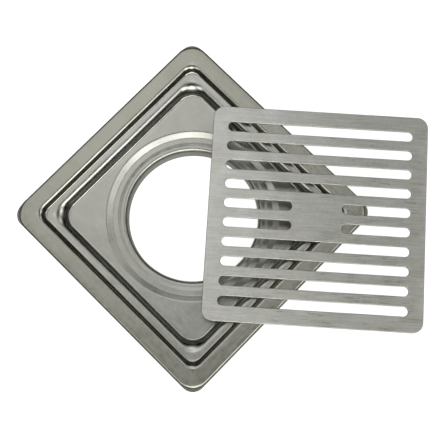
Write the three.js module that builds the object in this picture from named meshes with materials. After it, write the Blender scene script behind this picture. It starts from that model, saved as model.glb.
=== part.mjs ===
// A square stainless steel floor drain: a one-piece pressed frame with a stepped pan and a round
// outlet collar, and a flat slotted grate that has been lifted out and lies turned on the frame's rim.
// Millimetres, +Z up, origin at the middle of the base of the two pieces' common box.
import * as THREE from "three";
import { LoftGeometry } from "three/addons/geometries/LoftGeometry.js";
import { mergeVertices } from "three/addons/utils/BufferGeometryUtils.js";

// ---- drain frame ----
const FRAME_SIDE = 150;
const FRAME_HEIGHT = 22; // from the collar's lower end to the rim's top face
const FRAME_SHEET = 0.8;
const SKIRT_DEPTH = 3.4; // how far the turned-down outer edge drops below the rim
const SKIRT_FLARE = 0.4; // how far the skirt leans out at the middle of a side
const RIM_CROWN = 0.07; // how far the rim has fallen where it meets the skirt
const CROWN_WIDTH = 3.6;
const RIM_WIDTH = 11.5;
const RIM_BEND = 3;
const RECESS_DEPTH = 3.4; // from the rim's top to the ledge that the grate sits on
const RECESS_DRAFT = 0.75; // how far the recess wall leans in on its way down
const RECESS_BEND = 1.25;
const LEDGE_WIDTH = 6.4;
const LEDGE_BEND = 4;
const PAN_DEPTH = 9.6;
const PAN_DRAFT = 0.8;
const PAN_BEND = 1.4;
const PAN_CORNER = 11;
const DISH_RADIUS = 51.3;
const DISH_BEND = 3;
const DISH_DEPTH = 11.1;
const DISH_BOTTOM_RADIUS = 47.6;
const OUTLET_RADIUS = 39; // inside the collar
const OUTLET_BEND = 2.6;
const RIPPLE_RADIUS = 44.6; // the shallow step pressed into the dish round the outlet
const RIPPLE_WIDTH = 1.7;
const RIPPLE_DEPTH = 0.4;

const POINTS_PER_CORNER = 16; // a ring has four times as many
const BEND_STEPS = 3;

// ---- grate plate ----
const GRATE_SIDE = 126.5;
const GRATE_THICKNESS = 1.2;
const GRATE_CORNER = 6.3;
const GRATE_EDGE = 0.2; // the small rounding round every cut edge
const SLOT_ROWS = 10;
const SLOT_PITCH = 11.4;
const SLOT_WIDTH = 5.5;
const SLOT_LENGTH = 108.6;
const PAD_ROWS = [4, 5]; // the rows that the plain centre pad interrupts, counted from 0
const PAD_WIDTH = 29.2;
const CORNER_STEPS = 4;

// ---- how the grate lies on the frame ----
const GRATE_OFFSET = new THREE.Vector2(53.7, 48.3); // from the frame's centre to the grate's
const GRATE_TURN = THREE.MathUtils.degToRad(40.95);
const GRATE_GAP = 0.3; // clearance over the rim

const frameSteel = new THREE.MeshStandardMaterial({ color: 0xb4b1a7, roughness: 0.38, metalness: 1 });
const grateSteel = new THREE.MeshStandardMaterial({ color: 0xb3b1ac, roughness: 0.42, metalness: 1 });

// A ring of points round a square of the given half side whose corners have the given radius.
// With half equal to radius it is a circle, so squares and circles join point to point.
function ringPoints({ half, radius, z }) {
  const points = [];
  for (let corner = 0; corner < 4; corner++) {
    for (let step = 0; step < POINTS_PER_CORNER; step++) {
      const angle = ((corner + (step + 0.5) / POINTS_PER_CORNER) * Math.PI) / 2;
      const towardX = corner === 0 || corner === 3 ? 1 : -1;
      const towardY = corner < 2 ? 1 : -1;
      points.push(
        new THREE.Vector3(
          towardX * (half - radius) + radius * Math.cos(angle),
          towardY * (half - radius) + radius * Math.sin(angle),
          z,
        ),
      );
    }
  }
  return points;
}

// The sheet's upper face from the skirt's lower edge to the collar's lower end, as the corners of
// its section. bend is the radius of the fold at a corner, on the face whose corners these are, and
// 0 where the ring is only there to hold its outline, on the pan's flat floor or at a free edge.
function frameSection() {
  const half = FRAME_SIDE / 2;
  const top = FRAME_HEIGHT;
  const rimInner = half - RIM_WIDTH;
  const recessFoot = rimInner - RECESS_DRAFT;
  const ledgeEdge = recessFoot - LEDGE_WIDTH;
  const panFoot = ledgeEdge - PAN_DRAFT;
  const ledge = top - RECESS_DEPTH;
  const floor = top - PAN_DEPTH;
  const dishBottom = top - DISH_DEPTH;
  const rippleFoot = RIPPLE_RADIUS - RIPPLE_WIDTH;
  const outletTop = dishBottom - RIPPLE_DEPTH;
  const squareFlat = panFoot - 1.25;
  const roundFlat = DISH_RADIUS + 1;
  return [
    { half, radius: 8, z: top - SKIRT_DEPTH, bend: 0 },
    { half: half - SKIRT_FLARE, radius: 12.5, z: top - RIM_CROWN, bend: 1.6 },
    { half: half - CROWN_WIDTH, radius: 10, z: top, bend: 8 },
    { half: rimInner, radius: 6.2, z: top, bend: RIM_BEND },
    { half: recessFoot, radius: 5.8, z: ledge, bend: RECESS_BEND },
    { half: ledgeEdge, radius: PAN_CORNER + 1, z: ledge, bend: LEDGE_BEND },
    { half: panFoot, radius: PAN_CORNER, z: floor, bend: PAN_BEND },
    { half: squareFlat, radius: PAN_CORNER - 1.2, z: floor, bend: 0 },
    { half: roundFlat, radius: roundFlat, z: floor, bend: 0 },
    { half: DISH_RADIUS, radius: DISH_RADIUS, z: floor, bend: DISH_BEND },
    { half: DISH_BOTTOM_RADIUS, radius: DISH_BOTTOM_RADIUS, z: dishBottom, bend: 1.5 },
    { half: RIPPLE_RADIUS, radius: RIPPLE_RADIUS, z: dishBottom, bend: 2 },
    { half: rippleFoot, radius: rippleFoot, z: outletTop, bend: 2 },
    { half: OUTLET_RADIUS, radius: OUTLET_RADIUS, z: outletTop, bend: OUTLET_BEND },
    { half: OUTLET_RADIUS, radius: OUTLET_RADIUS, z: 0, bend: 0 },
  ];
}

// The direction from one section corner to the next, in the section's own half-and-z plane.
function heading(from, to) {
  return new THREE.Vector2(to.half - from.half, to.z - from.z).normalize();
}

// The other face's corners, one sheet thickness away. The first and last keep their heights, so
// both free edges are cut level.
function offsetSection(section, thickness) {
  return section.map((corner, i) => {
    const before = heading(section[Math.max(i - 1, 0)], section[Math.max(i, 1)]);
    const after = i < section.length - 1 ? heading(corner, section[i + 1]) : before;
    const inward = new THREE.Vector2(-before.y - after.y, before.x + after.x);
    inward.multiplyScalar(thickness / (1 + before.dot(after)));
    const turn = Math.sign(before.cross(after));
    const freeEdge = i === 0 || i === section.length - 1;
    return {
      half: corner.half + inward.x,
      radius: corner.radius + inward.x,
      z: freeEdge ? corner.z : corner.z + inward.y,
      bend: corner.bend === 0 ? 0 : Math.max(corner.bend - turn * thickness, 0.2),
    };
  });
}

// Replaces each corner that has a bend radius by the points of the arc that rounds it off.
function roundSection(section) {
  const stations = [];
  section.forEach((corner, i) => {
    if (corner.bend === 0) {
      stations.push(corner);
      return;
    }
    const before = heading(section[i - 1], corner);
    const after = heading(corner, section[i + 1]);
    const turn = Math.atan2(before.cross(after), before.dot(after));
    const reach = corner.bend * Math.tan(Math.abs(turn) / 2);
    const share = reach / Math.hypot(corner.half - section[i - 1].half, corner.z - section[i - 1].z);
    const shareAfter = reach / Math.hypot(section[i + 1].half - corner.half, section[i + 1].z - corner.z);
    const radiusIn = THREE.MathUtils.lerp(corner.radius, section[i - 1].radius, share);
    const radiusOut = THREE.MathUtils.lerp(corner.radius, section[i + 1].radius, shareAfter);
    const side = new THREE.Vector2(-before.y, before.x).multiplyScalar(Math.sign(turn) * corner.bend);
    const start = new THREE.Vector2(corner.half, corner.z).addScaledVector(before, -reach);
    const centre = start.clone().add(side);
    for (let step = 0; step <= BEND_STEPS; step++) {
      const along = step / BEND_STEPS;
      const point = start.clone().rotateAround(centre, turn * along);
      stations.push({
        half: point.x,
        radius: THREE.MathUtils.lerp(radiusIn, radiusOut, along),
        z: point.y,
      });
    }
  });
  return stations;
}

// Circles stay circles: a station whose half side is no more than its corner radius is one.
function asRing(station) {
  const isCircle = station.half - station.radius < 0.01;
  return ringPoints(isCircle ? { ...station, radius: station.half } : station);
}

// The same surface as one closed body whose faces share their corners.
function closedBody(geometry) {
  const surface = new THREE.BufferGeometry();
  surface.setAttribute("position", geometry.getAttribute("position"));
  surface.setIndex(geometry.getIndex());
  return mergeVertices(surface, 1e-4);
}

function drainFrame() {
  const upper = frameSection();
  const lower = offsetSection(upper, FRAME_SHEET);
  const loop = [...roundSection(upper), ...roundSection(lower).reverse()];
  loop.push(loop[0]);
  const mesh = new THREE.Mesh(closedBody(new LoftGeometry(loop.map(asRing))), frameSteel);
  mesh.name = "drain_frame";
  return mesh;
}

function roundedSquare(side, radius) {
  const straight = side / 2 - radius;
  const shape = new THREE.Shape();
  shape.absarc(straight, straight, radius, 0, Math.PI / 2, false);
  shape.absarc(-straight, straight, radius, Math.PI / 2, Math.PI, false);
  shape.absarc(-straight, -straight, radius, Math.PI, 1.5 * Math.PI, false);
  shape.absarc(straight, -straight, radius, 1.5 * Math.PI, 2 * Math.PI, false);
  return shape;
}

function slot(fromX, toX, y, width) {
  const path = new THREE.Path();
  const radius = width / 2;
  path.absarc(toX - radius, y, radius, Math.PI / 2, -Math.PI / 2, true);
  path.absarc(fromX + radius, y, radius, -Math.PI / 2, -1.5 * Math.PI, true);
  return path;
}

function gratePlate() {
  const shape = roundedSquare(GRATE_SIDE - 2 * GRATE_EDGE, GRATE_CORNER - GRATE_EDGE);
  const cutWidth = SLOT_WIDTH + 2 * GRATE_EDGE;
  const end = SLOT_LENGTH / 2 + GRATE_EDGE;
  const padEdge = PAD_WIDTH / 2 - GRATE_EDGE;
  for (let row = 0; row < SLOT_ROWS; row++) {
    const y = (row - (SLOT_ROWS - 1) / 2) * SLOT_PITCH;
    if (PAD_ROWS.includes(row)) {
      shape.holes.push(slot(-end, -padEdge, y, cutWidth));
      shape.holes.push(slot(padEdge, end, y, cutWidth));
    } else {
      shape.holes.push(slot(-end, end, y, cutWidth));
    }
  }
  const geometry = new THREE.ExtrudeGeometry(shape, {
    depth: GRATE_THICKNESS - 2 * GRATE_EDGE,
    curveSegments: CORNER_STEPS,
    bevelThickness: GRATE_EDGE,
    bevelSize: GRATE_EDGE,
    bevelSegments: 1,
  });
  geometry.translate(0, 0, GRATE_EDGE);
  const mesh = new THREE.Mesh(closedBody(geometry), grateSteel);
  mesh.name = "grate_plate";
  return mesh;
}

// How far the turned grate reaches from its own centre along X, which is also how far along Y.
function turnedGrateReach() {
  const straight = GRATE_SIDE / 2 - GRATE_CORNER;
  return straight * (Math.cos(GRATE_TURN) + Math.sin(GRATE_TURN)) + GRATE_CORNER;
}

const liftedGrate = new THREE.Group();
liftedGrate.position.set(GRATE_OFFSET.x, GRATE_OFFSET.y, FRAME_HEIGHT + GRATE_GAP);
liftedGrate.rotation.z = GRATE_TURN;
liftedGrate.add(gratePlate());

const floorDrain = new THREE.Group();
floorDrain.position.set(
  (FRAME_SIDE / 2 - GRATE_OFFSET.x - turnedGrateReach()) / 2,
  (FRAME_SIDE / 2 - GRATE_OFFSET.y - turnedGrateReach()) / 2,
  0,
);
floorDrain.add(drainFrame(), liftedGrate);

// The outer group stays at the origin, so that the offset above counts.
const part = new THREE.Group();
part.add(floorDrain);

export default part;
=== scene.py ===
"""The floor drain: a pressed stainless frame with a slotted grate lying turned on its rim."""

import math

import bpy
import numpy as np
from mathutils import Matrix, Vector, geometry

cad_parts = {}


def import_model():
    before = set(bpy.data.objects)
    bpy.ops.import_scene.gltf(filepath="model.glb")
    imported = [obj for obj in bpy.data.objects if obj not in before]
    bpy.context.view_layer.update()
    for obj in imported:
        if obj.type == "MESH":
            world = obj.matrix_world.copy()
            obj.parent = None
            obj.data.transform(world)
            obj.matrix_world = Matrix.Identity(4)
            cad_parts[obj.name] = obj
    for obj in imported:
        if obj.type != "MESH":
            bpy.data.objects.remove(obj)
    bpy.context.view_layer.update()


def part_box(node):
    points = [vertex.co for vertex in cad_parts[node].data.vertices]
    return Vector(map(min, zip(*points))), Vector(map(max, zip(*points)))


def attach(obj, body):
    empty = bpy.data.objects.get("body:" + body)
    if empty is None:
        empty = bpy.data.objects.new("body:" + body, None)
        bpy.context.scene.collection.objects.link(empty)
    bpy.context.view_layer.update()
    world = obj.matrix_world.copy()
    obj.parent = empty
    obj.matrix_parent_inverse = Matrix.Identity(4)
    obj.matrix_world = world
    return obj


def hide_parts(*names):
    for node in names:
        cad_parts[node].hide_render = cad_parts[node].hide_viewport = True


MM = 0.001

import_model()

# ---- the CAD model's driving sizes, in millimetres ----
FRAME_LOW, FRAME_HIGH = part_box("drain_frame")
FRAME_SIDE = (FRAME_HIGH.x - FRAME_LOW.x) / MM
FRAME_TOP = FRAME_HIGH.z / MM
FRAME_CENTRE = (FRAME_LOW + FRAME_HIGH) / 2 / MM
SHEET = 0.8
SKIRT_DEPTH = 3.4
SKIRT_FLARE = 0.4
SKIRT_CORNER = 8.0
SKIRT_BEND = 1.6
RIM_WIDTH = 11.5
RIM_CORNER = 12.5
RIM_BEND = 3.0
RIM_CROWN = 0.07
CROWN_WIDTH = 3.6
CROWN_CORNER = 10.0
CROWN_BEND = 8.0
RECESS_DEPTH = 3.4
RECESS_DRAFT = 0.75
RECESS_CORNER = 6.2
RECESS_FOOT_CORNER = 5.8
RECESS_BEND = 1.25
LEDGE_WIDTH = 6.4
LEDGE_CORNER = 12.0
LEDGE_BEND = 4.0
PAN_DEPTH = 9.6
PAN_DRAFT = 0.8
PAN_CORNER = 11.0
PAN_BEND = 1.4
PAN_FLAT_INSET = 1.25
PAN_FLAT_CORNER = 9.8
DISH_RADIUS = 51.3
DISH_MARGIN = 1.0
DISH_DEPTH = 11.1
DISH_BEND = 3.0
DISH_BOTTOM_RADIUS = 47.6
DISH_BOTTOM_BEND = 1.5
RIPPLE_RADIUS = 44.6
RIPPLE_WIDTH = 1.7
RIPPLE_DEPTH = 0.4
RIPPLE_BEND = 2.0
OUTLET_RADIUS = 39.0
OUTLET_BEND = 2.6

GRATE_LOW, GRATE_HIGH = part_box("grate_plate")
GRATE_CENTRE = (GRATE_LOW + GRATE_HIGH) / 2 / MM
GRATE_SIDE = 126.5
GRATE_THICKNESS = 1.2
GRATE_CORNER = 6.3
GRATE_TURN = math.radians(40.95)
SLOT_ROWS = 10
SLOT_PITCH = 11.4
SLOT_WIDTH = 5.5
SLOT_LENGTH = 108.6
PAD_ROWS = (4, 5)
PAD_WIDTH = 29.2
EDGE_ROLL = 0.42  # radius of the rolled top edge
EDGE_BURR = 0.12  # width of the broken bottom edge

# distances from the frame's centre line to the section's corners
RIM_INNER = FRAME_SIDE / 2 - RIM_WIDTH
RECESS_FOOT = RIM_INNER - RECESS_DRAFT
LEDGE_EDGE = RECESS_FOOT - LEDGE_WIDTH
PAN_FOOT = LEDGE_EDGE - PAN_DRAFT

# ---- where painted shade lies on the two walls: depth under the rim and how far it reaches, in millimetres ----
RECESS_SHADE_DEPTH = 2.0
RECESS_SHADE_REACH = 1.3
PAN_SHADE_DEPTH = 6.9
PAN_SHADE_REACH = 2.5

# ---- the studio: a soft panel overhead and a ring of eight round the object ----
# bearing in degrees (0 away from the camera, 90 to its right), tilt from straight up, size, strength
SOFT_PANELS = {
    "overhead": (335, 15, 0.14, 1.1),
    "near": (180, 36, 0.12, 4.2),
    "near right": (135, 36, 0.12, 3.6),
    "near left": (225, 36, 0.12, 1.8),
    "right": (90, 36, 0.12, 1.6),
    "left": (270, 36, 0.12, 1.2),
    "far right": (45, 36, 0.12, 1.0),
    "far left": (315, 36, 0.12, 0.8),
    "far": (0, 36, 0.12, 1.0),
}
TABLE_GLOW = 0.43
# heights on the unit sphere between which the panels' light grows from BELOW_HORIZON's share to all of it
HORIZON_DARK = -0.2
HORIZON_CLEAR = 0.6
BELOW_HORIZON = 0.12

# ---- the view ----
VIEW_AZIMUTH = math.radians(44.9)
VIEW_ELEVATION = math.radians(80.9)
VIEW_ROLL = math.radians(0.38)
VIEW_TARGET = Vector((-15.1, -21.9, 22.0)) * MM
VIEW_DISTANCE = 0.4817
VIEW_LENS = 66.83


# ---- geometry helpers ----
def heading(start, end):
    """The unit direction between two section corners in the section's half-and-z plane."""
    step = np.array([end["half"] - start["half"], end["z"] - start["z"]])
    return step / np.linalg.norm(step)


def cross(a, b):
    return a[0] * b[1] - a[1] * b[0]


def offset_section(section, thickness):
    """The section's corners moved one sheet thickness towards the underside."""
    made = []
    for i, corner in enumerate(section):
        first, last = i == 0, i == len(section) - 1
        before = heading(section[0], section[1]) if first else heading(section[i - 1], corner)
        after = before if last else heading(corner, section[i + 1])
        inward = np.array([-before[1] - after[1], before[0] + after[0]])
        inward = inward * thickness / (1 + before.dot(after))
        turn = np.sign(cross(before, after))
        made.append({
            "half": corner["half"] + inward[0],
            "radius": corner["radius"] + inward[0],
            "z": corner["z"] if first or last else corner["z"] + inward[1],
            "bend": max(corner["bend"] - turn * thickness, 0.2) if corner["bend"] else 0,
        })
    return made


def round_section(section, steps):
    """Replaces each corner that has a bend radius by the points of its arc."""
    stations = []
    for i, corner in enumerate(section):
        if corner["bend"] == 0:
            stations.append((corner["half"], corner["radius"], corner["z"]))
            continue
        previous, following = section[i - 1], section[i + 1]
        before, after = heading(previous, corner), heading(corner, following)
        turn = math.atan2(cross(before, after), before.dot(after))
        reach = corner["bend"] * math.tan(abs(turn) / 2)
        here = np.array([corner["half"], corner["z"]])
        length_in = math.hypot(corner["half"] - previous["half"], corner["z"] - previous["z"])
        length_out = math.hypot(following["half"] - corner["half"], following["z"] - corner["z"])
        radius_in = corner["radius"] + (previous["radius"] - corner["radius"]) * reach / length_in
        radius_out = corner["radius"] + (following["radius"] - corner["radius"]) * reach / length_out
        side = np.array([-before[1], before[0]]) * np.sign(turn) * corner["bend"]
        centre = here - before * reach + side
        spoke = -side
        for step in range(steps + 1):
            share = step / steps
            c, s = math.cos(turn * share), math.sin(turn * share)
            point = centre + np.array([c * spoke[0] - s * spoke[1], s * spoke[0] + c * spoke[1]])
            stations.append((point[0], radius_in + (radius_out - radius_in) * share, point[1]))
    return stations


def ring(half, radius, z, arc_points, side_points):
    """Points round a square with rounded corners; a circle where half equals radius."""
    if half - radius < 0.01:
        count = 4 * (arc_points + side_points)
        angles = (np.arange(count) + 0.5 + side_points / 2) * 2 * math.pi / count
        return np.stack([half * np.cos(angles), half * np.sin(angles), np.full(count, z)], 1)
    quarter = (np.arange(arc_points) + 0.5) / arc_points * math.pi / 2
    points = []
    for corner in range(4):
        turn = corner * math.pi / 2
        centre = np.array([half - radius, half - radius])
        arc = centre + radius * np.stack([np.cos(quarter), np.sin(quarter)], 1)
        start = arc[-1]
        end = np.array([-arc[-1][0], arc[-1][1]])
        share = (np.arange(side_points) + 1)[:, None] / (side_points + 1)
        side = start + (end - start) * share
        quarter_points = np.concatenate([arc, side])
        c, s = math.cos(turn), math.sin(turn)
        points.append(quarter_points @ np.array([[c, s], [-s, c]]))
    flat = np.concatenate(points)
    return np.column_stack([flat, np.full(len(flat), z)])


def mesh_object(name, vertices, faces):
    mesh = bpy.data.meshes.new(name)
    mesh.from_pydata([tuple(v) for v in vertices], [], faces)
    mesh.validate()
    mesh.update()
    made = bpy.data.objects.new(name, mesh)
    bpy.context.scene.collection.objects.link(made)
    mesh.shade_smooth()
    return made


def keep_flats_flat(piece):
    """Weights the normals by face area, so that only the bends are shaded round."""
    weighted = piece.modifiers.new("flat faces stay flat", "WEIGHTED_NORMAL")
    weighted.mode = "FACE_AREA"
    weighted.weight = 100


# ---- the pressed frame ----
def frame_section():
    """The upper face's corners from the skirt's edge in to the collar's end: half side, corner radius,
    height and bend radius."""
    half, top = FRAME_SIDE / 2, FRAME_TOP
    ledge, floor = top - RECESS_DEPTH, top - PAN_DEPTH
    square_flat = PAN_FOOT - PAN_FLAT_INSET
    round_flat = DISH_RADIUS + DISH_MARGIN
    dish_bottom = top - DISH_DEPTH
    outlet_top = dish_bottom - RIPPLE_DEPTH
    ripple_foot = RIPPLE_RADIUS - RIPPLE_WIDTH
    rows = [
        (half, SKIRT_CORNER, top - SKIRT_DEPTH, 0),
        (half - SKIRT_FLARE, RIM_CORNER, top - RIM_CROWN, SKIRT_BEND),
        (half - CROWN_WIDTH, CROWN_CORNER, top, CROWN_BEND),
        (RIM_INNER, RECESS_CORNER, top, RIM_BEND),
        (RECESS_FOOT, RECESS_FOOT_CORNER, ledge, RECESS_BEND),
        (LEDGE_EDGE, LEDGE_CORNER, ledge, LEDGE_BEND),
        (PAN_FOOT, PAN_CORNER, floor, PAN_BEND),
        (square_flat, PAN_FLAT_CORNER, floor, 0),
        (round_flat, round_flat, floor, 0),
        (DISH_RADIUS, DISH_RADIUS, floor, DISH_BEND),
        (DISH_BOTTOM_RADIUS, DISH_BOTTOM_RADIUS, dish_bottom, DISH_BOTTOM_BEND),
        (RIPPLE_RADIUS, RIPPLE_RADIUS, dish_bottom, RIPPLE_BEND),
        (ripple_foot, ripple_foot, outlet_top, RIPPLE_BEND),
        (OUTLET_RADIUS, OUTLET_RADIUS, outlet_top, OUTLET_BEND),
        (OUTLET_RADIUS, OUTLET_RADIUS, 0, 0),
    ]
    return [dict(zip(("half", "radius", "z", "bend"), row)) for row in rows]


def pressed_frame():
    """Rings down the upper face and back along the underside, joined into one closed sheet."""
    arc_points, side_points, bend_steps = 28, 16, 10
    upper = frame_section()
    lower = offset_section(upper, SHEET)
    stations = round_section(upper, bend_steps) + round_section(lower, bend_steps)[::-1]
    rings = [ring(*station, arc_points, side_points) for station in stations]
    count, around = len(rings), len(rings[0])
    vertices = np.concatenate(rings) * MM
    faces = []
    for i in range(count):
        for j in range(around):
            a, b = i * around + j, i * around + (j + 1) % around
            c, d = (i + 1) % count * around + (j + 1) % around, (i + 1) % count * around + j
            faces.append((a, b, c, d))
    made = mesh_object("pressed_frame", vertices, faces)
    made.location = Vector((FRAME_CENTRE.x, FRAME_CENTRE.y, 0)) * MM
    keep_flats_flat(made)
    return made


# ---- the slotted grate ----
def rounded_square(side, radius, steps):
    straight = side / 2 - radius
    angles = np.arange(steps + 1) / steps * math.pi / 2
    points = []
    for corner in range(4):
        turned = angles + corner * math.pi / 2
        sign_x = 1 if corner in (0, 3) else -1
        sign_y = 1 if corner < 2 else -1
        centre = np.array([sign_x * straight, sign_y * straight])
        points.append(centre + radius * np.stack([np.cos(turned), np.sin(turned)], 1))
    return np.concatenate(points)


def slot_outline(from_x, to_x, y, width, steps):
    radius = width / 2
    angles = np.arange(steps + 1) / steps * math.pi - math.pi / 2
    right = np.stack([to_x - radius + radius * np.cos(angles), y + radius * np.sin(angles)], 1)
    left = np.stack([from_x + radius - radius * np.cos(angles), y - radius * np.sin(angles)], 1)
    return np.concatenate([right, left])


def grate_outlines(inset):
    """The plate's outline and its slots', all drawn inset into the metal by the given amount."""
    outlines = [rounded_square(GRATE_SIDE - 2 * inset, GRATE_CORNER - inset, 12)]
    end, pad = SLOT_LENGTH / 2 + inset, PAD_WIDTH / 2 - inset
    for row in range(SLOT_ROWS):
        y = (row - (SLOT_ROWS - 1) / 2) * SLOT_PITCH
        spans = [(-end, -pad), (pad, end)] if row in PAD_ROWS else [(-end, end)]
        for from_x, to_x in spans:
            outlines.append(slot_outline(from_x, to_x, y, SLOT_WIDTH + 2 * inset, 16))
    return outlines


def edge_profile():
    """Inset and height pairs from the top face, down the cut edge, to the bottom face."""
    steps = 5
    profile = []
    for step in range(steps + 1):
        angle = step / steps * math.pi / 2
        inset = EDGE_ROLL * (1 - math.sin(angle))
        profile.append((inset, GRATE_THICKNESS - EDGE_ROLL * (1 - math.cos(angle))))
    profile.append((0, EDGE_BURR))
    profile.append((EDGE_BURR, 0))
    return profile


def slotted_grate():
    """The plate as stacked outlines: side walls between the layers, and a face at the top and the bottom."""
    profile = edge_profile()
    layers = [grate_outlines(inset) for inset, _ in profile]
    vertices, faces = [], []
    starts = []
    for layer, (_, z) in zip(layers, profile):
        starts.append([])
        for outline in layer:
            starts[-1].append(len(vertices))
            vertices.extend((x, y, z) for x, y in outline)
    for upper, lower in zip(range(len(profile) - 1), range(1, len(profile))):
        for k, outline in enumerate(layers[0]):
            around = len(outline)
            for j in range(around):
                n = (j + 1) % around
                above, below = starts[upper][k], starts[lower][k]
                quad = (above + j, below + j, below + n, above + n)
                faces.append(quad if k == 0 else quad[::-1])
    for layer, facing_up in ((0, True), (len(profile) - 1, False)):
        loops = [[Vector((x, y, 0)) for x, y in outline] for outline in layers[layer]]
        index = [starts[layer][k] + j for k, loop in enumerate(loops) for j in range(len(loop))]
        for triangle in geometry.tessellate_polygon(loops):
            corners = [index[t] for t in triangle]
            a, b, c = (Vector(vertices[t]) for t in corners)
            if ((b - a).cross(c - a).z > 0) != facing_up:
                corners.reverse()
            faces.append(tuple(corners))
    made = mesh_object("slotted_grate", np.array(vertices) * MM, faces)
    made.location = Vector((GRATE_CENTRE.x, GRATE_CENTRE.y, GRATE_LOW.z / MM)) * MM
    made.rotation_euler.z = GRATE_TURN
    keep_flats_flat(made)
    return made


# ---- materials ----
class Graph:
    """Adds shader nodes to one tree; an input may be a number, a colour or another node's output."""

    def __init__(self, tree):
        self.nodes, self.links = tree.nodes, tree.links

    def add(self, kind, inputs, output=0, **settings):
        node = self.nodes.new("ShaderNode" + kind)
        for key, value in settings.items():
            setattr(node, key, value)
        for key, value in inputs.items():
            if isinstance(value, bpy.types.NodeSocket):
                self.links.new(value, node.inputs[key])
            else:
                node.inputs[key].default_value = value
        return node.outputs[output]

    def math(self, operation, a, b=0.0):
        return self.add("Math", {0: a, 1: b}, operation=operation)

    def times(self, first, *others):
        """The product of all its arguments."""
        for other in others:
            first = self.math("MULTIPLY", first, other)
        return first

    def ramp(self, value, start, end, low=0.0, high=1.0):
        ends = {"From Min": start, "From Max": end, "To Min": low, "To Max": high}
        return self.add("MapRange", {"Value": value, **ends}, interpolation_type="SMOOTHSTEP")

    def vary(self, pattern, low, high):
        """Spreads the usual range of a noise pattern over low to high."""
        return self.ramp(pattern, 0.3, 0.7, low, high)

    def band(self, value, centre, width):
        """1 at the centre, falling smoothly to 0 one width away."""
        away = self.math("ABSOLUTE", self.math("SUBTRACT", value, centre))
        return self.ramp(away, 0.0, width, 1.0, 0.0)

    def vector(self, x, y, z):
        return self.add("CombineXYZ", {0: x, 1: y, 2: z})

    def split(self, vector):
        node = self.nodes.new("ShaderNodeSeparateXYZ")
        self.links.new(vector, node.inputs[0])
        return node.outputs

    def noise(self, vector, scale, detail=3.0, roughness=0.5):
        inputs = {"Vector": vector, "Scale": scale, "Detail": detail, "Roughness": roughness}
        return self.add("TexNoise", inputs)

    def mix(self, share, a, b):
        return self.add("Mix", {0: share, 6: a, 7: b}, output=2, data_type="RGBA")

    def tint(self, colour, shade):
        """The colour multiplied by a number."""
        grey = self.add("CombineColor", {0: shade, 1: shade, 2: shade})
        inputs = {0: 1.0, 6: colour, 7: grey}
        return self.add("Mix", inputs, output=2, data_type="RGBA", blend_type="MULTIPLY")

    def bump(self, height, strength, distance, normal=None):
        inputs = {"Height": height, "Strength": strength, "Distance": distance * MM}
        if normal is not None:
            inputs["Normal"] = normal
        return self.add("Bump", inputs)

    def point(self):
        """The surface point in millimetres along the piece's own axes."""
        coords = self.nodes.new("ShaderNodeTexCoord").outputs["Object"]
        return self.add("VectorMath", {0: coords, "Scale": 1 / MM}, operation="SCALE")


def metal(name):
    """A new metal material's graph and its Principled shader's inputs."""
    material = bpy.data.materials.new(name)
    material.use_nodes = True
    shader = material.node_tree.nodes["Principled BSDF"]
    shader.inputs["Metallic"].default_value = 1
    return material, Graph(material.node_tree), shader.inputs


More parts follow.
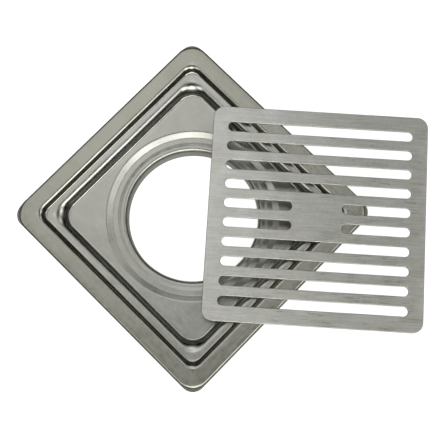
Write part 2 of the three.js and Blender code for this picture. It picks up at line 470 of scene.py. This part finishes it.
def pressed_steel():
    """Cold-rolled sheet: mottled, warm on the rim, rubbed on the bends, drawn rings round the dish."""
    material, graph, inputs = metal("pressed_steel")
    point = graph.point()
    x, y, z = graph.split(point)
    across_x, across_y = graph.math("ABSOLUTE", x), graph.math("ABSOLUTE", y)
    square = graph.math("MAXIMUM", across_x, across_y)
    along = graph.math("MINIMUM", across_x, across_y)
    radius = graph.math("SQRT", graph.math("ADD", graph.times(x, x), graph.times(y, y)))

    # patterns: broad blotches, mottle, fine grain, and the lines that drawing leaves in the sheet
    blotch = graph.ramp(graph.noise(point, 0.045, 3.0), 0.38, 0.62)
    mottle = graph.noise(point, 0.35, 5.0, 0.65)
    grain = graph.noise(point, 2.2, 3.0, 0.6)
    drawn_side = graph.noise(graph.vector(graph.times(along, 0.04), square, 3.0), 1.7, 3.0)
    ring_point = graph.vector(radius, graph.times(x, 0.03), graph.times(y, 0.03))
    drawn_ring = graph.noise(ring_point, 0.9, 4.0)
    in_dish = graph.ramp(radius, DISH_RADIUS, DISH_RADIUS + 2.5, 1.0, 0.0)
    streak = graph.add("Mix", {0: in_dish, 2: drawn_side, 3: drawn_ring}, data_type="FLOAT")

    # painted shade: the middle of the recess wall and of the pan wall is darkened in the colour, and made
    # rougher
    on_walls = graph.math(
        "MAXIMUM",
        graph.band(z, FRAME_TOP - RECESS_SHADE_DEPTH, RECESS_SHADE_REACH),
        graph.band(z, FRAME_TOP - PAN_SHADE_DEPTH, PAN_SHADE_REACH),
    )
    outside_dish = graph.ramp(radius, DISH_RADIUS, DISH_RADIUS + 1)
    inside_rim = graph.ramp(square, RIM_INNER + 2, RIM_INNER + 1)
    painted_wall_shade = graph.times(on_walls, outside_dish, inside_rim, graph.ramp(mottle, 0.25, 0.6, 0.96, 0.84))

    # dull metal on the skirt and down the collar
    skirt = graph.ramp(z, FRAME_TOP - SKIRT_DEPTH + 0.5, FRAME_TOP - 1.2, 1.0, 0.0)
    skirt = graph.times(skirt, graph.ramp(square, RIM_INNER, RIM_INNER + 2))
    dish_bottom = FRAME_TOP - DISH_DEPTH
    collar = graph.ramp(z, dish_bottom - 1, dish_bottom - 3)
    collar = graph.times(collar, graph.ramp(radius, OUTLET_RADIUS + 2, OUTLET_RADIUS + 1))
    dull = graph.math("MAXIMUM", skirt, collar)

    cool = graph.mix(blotch, (0.65, 0.65, 0.585, 1), (0.69, 0.69, 0.63, 1))
    warm = graph.mix(blotch, (0.57, 0.57, 0.485, 1), (0.60, 0.60, 0.52, 1))
    colour = graph.mix(graph.ramp(square, RIM_INNER - 2.5, RIM_INNER), cool, warm)
    # the colour's shade: random mottle, streaks and grain, times the painted shade on the walls
    shade = graph.times(
        graph.vary(mottle, 0.93, 1.05),
        graph.vary(streak, 0.93, 1.05),
        graph.vary(grain, 0.96, 1.03),
        graph.math("SUBTRACT", 1.0, painted_wall_shade),
    )
    graph.links.new(graph.tint(colour, shade), inputs["Base Color"])

    # handling has rubbed the bends smooth
    rubbed = graph.math(
        "MAXIMUM",
        graph.band(square, RECESS_FOOT + 0.4, 2.8),
        graph.band(square, PAN_FOOT + 0.6, 3.6),
    )
    patterns = graph.math("ADD", graph.times(mottle, 0.5), graph.times(streak, 0.5))
    rough = graph.vary(patterns, 0.26, 0.36)
    rough = graph.math("SUBTRACT", rough, graph.times(rubbed, 0.16))
    rough = graph.math("ADD", rough, graph.times(painted_wall_shade, 0.3))
    rough = graph.math("ADD", rough, graph.times(dull, 0.4))
    graph.links.new(rough, inputs["Roughness"])

    waves = graph.bump(graph.noise(point, 0.07, 1.0), 1.0, 0.25)
    lines = graph.bump(streak, 0.25, 0.05, waves)
    graph.links.new(graph.bump(mottle, 0.2, 0.03, lines), inputs["Normal"])
    return material


def brushed_steel():
    """Plate brushed along its slots: fine lines, faint clouds, a colour a little warmer and darker towards
    one corner, and painted shade on the underside.
    """
    material, graph, inputs = metal("brushed_steel")
    point = graph.point()
    x, y, z = graph.split(point)
    fine = graph.noise(graph.vector(graph.times(x, 0.02), y, z), 4.0, 3.0, 0.6)
    coarse = graph.noise(graph.vector(graph.times(x, 0.05), y, z), 0.7, 3.0)
    cloud = graph.ramp(graph.noise(point, 0.06, 4.0, 0.55), 0.36, 0.64)
    speck = graph.noise(point, 0.5, 4.0, 0.6)

    # the colour turns a little warmer and darker towards one corner of the plate
    toward_one_corner = graph.ramp(graph.math("SUBTRACT", x, graph.times(y, 0.5)), -60, 80)
    bright = graph.mix(toward_one_corner, (0.86, 0.86, 0.82, 1), (0.82, 0.815, 0.73, 1))
    colour = graph.mix(cloud, (0.79, 0.785, 0.72, 1), bright)
    # painted shade: the colour is darkened on the bottom face and the lowest part of the cut edges
    underside = graph.ramp(z, 0.1, 0.4, 0.45, 1.0)
    shade = graph.times(
        graph.vary(fine, 0.9, 1.07),
        graph.vary(coarse, 0.95, 1.04),
        graph.vary(speck, 0.96, 1.04),
        underside,
    )
    graph.links.new(graph.tint(colour, shade), inputs["Base Color"])

    rough = graph.math("ADD", graph.vary(fine, 0.26, 0.36), graph.ramp(cloud, 0.0, 1.0, 0.04, 0.0))
    graph.links.new(rough, inputs["Roughness"])
    waves = graph.bump(graph.noise(point, 0.06, 1.0), 1.0, 0.2)
    lines = graph.bump(fine, 0.3, 0.02, waves)
    graph.links.new(graph.bump(coarse, 0.2, 0.03, lines), inputs["Normal"])

    # The tangent round the plate's long axis points straight across the slots on its top face.
    across = graph.add("Tangent", {}, direction_type="RADIAL", axis="X")
    graph.links.new(across, inputs["Tangent"])
    inputs["Anisotropic"].default_value = 0.8
    return material


# ---- stage ----
def floor():
    bpy.ops.mesh.primitive_plane_add(size=8)
    made = bpy.context.object
    made.name = "floor"
    material = bpy.data.materials.new("floor_white")
    material.use_nodes = True
    shader = material.node_tree.nodes["Principled BSDF"]
    shader.inputs["Base Color"].default_value = (0.9, 0.9, 0.9, 1)
    shader.inputs["Roughness"].default_value = 0.9
    shader.inputs["Specular IOR Level"].default_value = 0
    shader.inputs["Emission Color"].default_value = (1, 1, 1, 1)
    shader.inputs["Emission Strength"].default_value = 0.85
    made.data.materials.append(material)
    made.visible_glossy = False


def world():
    """Soft studio light: the panels, fading towards the horizon, and a glow from the table below."""
    made = bpy.data.worlds.new("studio")
    bpy.context.scene.world = made
    made.use_nodes = True
    made.node_tree.nodes.clear()
    graph = Graph(made.node_tree)
    coords = graph.nodes.new("ShaderNodeTexCoord")
    x, y, z = graph.split(coords.outputs["Generated"])
    diagonal = math.sqrt(0.5)
    right = graph.times(graph.math("ADD", x, y), diagonal)
    away = graph.times(graph.math("SUBTRACT", y, x), diagonal)

    panels = 0.0
    for bearing, tilt, size, strength in SOFT_PANELS.values():
        reach = math.sin(math.radians(tilt))
        panel_right = reach * math.sin(math.radians(bearing))
        panel_away = reach * math.cos(math.radians(bearing))
        across = graph.math("DIVIDE", graph.math("SUBTRACT", right, panel_right), size)
        along = graph.math("DIVIDE", graph.math("SUBTRACT", away, panel_away), size)
        spread = graph.math("ADD", graph.times(across, across), graph.times(along, along))
        glow = graph.math("EXPONENT", graph.times(spread, -0.5))
        panels = graph.math("ADD", panels, graph.times(glow, strength))
    panels = graph.times(panels, graph.ramp(z, HORIZON_DARK, HORIZON_CLEAR, BELOW_HORIZON, 1.0))
    table = graph.ramp(z, -1.0, 0.3, TABLE_GLOW, 0.0)
    light = graph.math("ADD", panels, table)
    background = graph.add("Background", {"Color": (1, 1, 1, 1), "Strength": light})
    plain = graph.add("Background", {"Color": (0.93, 0.93, 0.93, 1)})
    camera_ray = graph.nodes.new("ShaderNodeLightPath").outputs["Is Camera Ray"]
    mixed = graph.add("MixShader", {0: camera_ray, 1: background, 2: plain})
    output = graph.nodes.new("ShaderNodeOutputWorld")
    graph.links.new(mixed, output.inputs["Surface"])


def camera():
    data = bpy.data.cameras.new("camera")
    data.lens = VIEW_LENS
    data.sensor_width = 36
    made = bpy.data.objects.new("camera", data)
    bpy.context.scene.collection.objects.link(made)
    back = Vector((
        math.sin(VIEW_AZIMUTH) * math.cos(VIEW_ELEVATION),
        -math.cos(VIEW_AZIMUTH) * math.cos(VIEW_ELEVATION),
        math.sin(VIEW_ELEVATION),
    ))
    away = Vector((-math.sin(VIEW_AZIMUTH), math.cos(VIEW_AZIMUTH), 0))
    up = (away - away.dot(back) * back).normalized()
    right = up.cross(back)
    turn = Matrix.Rotation(-VIEW_ROLL, 3, back)
    up, right = turn @ up, turn @ right
    made.matrix_world = Matrix.Translation(VIEW_TARGET + back * VIEW_DISTANCE) @ Matrix(
        (right, up, back)
    ).transposed().to_4x4()
    data.clip_start = 0.01
    data.clip_end = 20
    bpy.context.scene.camera = made


camera()
floor()
world()
bpy.context.scene.view_settings.view_transform = "Standard"

frame_piece = pressed_frame()
frame_piece.data.materials.append(pressed_steel())
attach(frame_piece, "frame")
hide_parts("drain_frame")

grate_piece = slotted_grate()
grate_piece.data.materials.append(brushed_steel())
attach(grate_piece, "grate")
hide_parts("grate_plate")
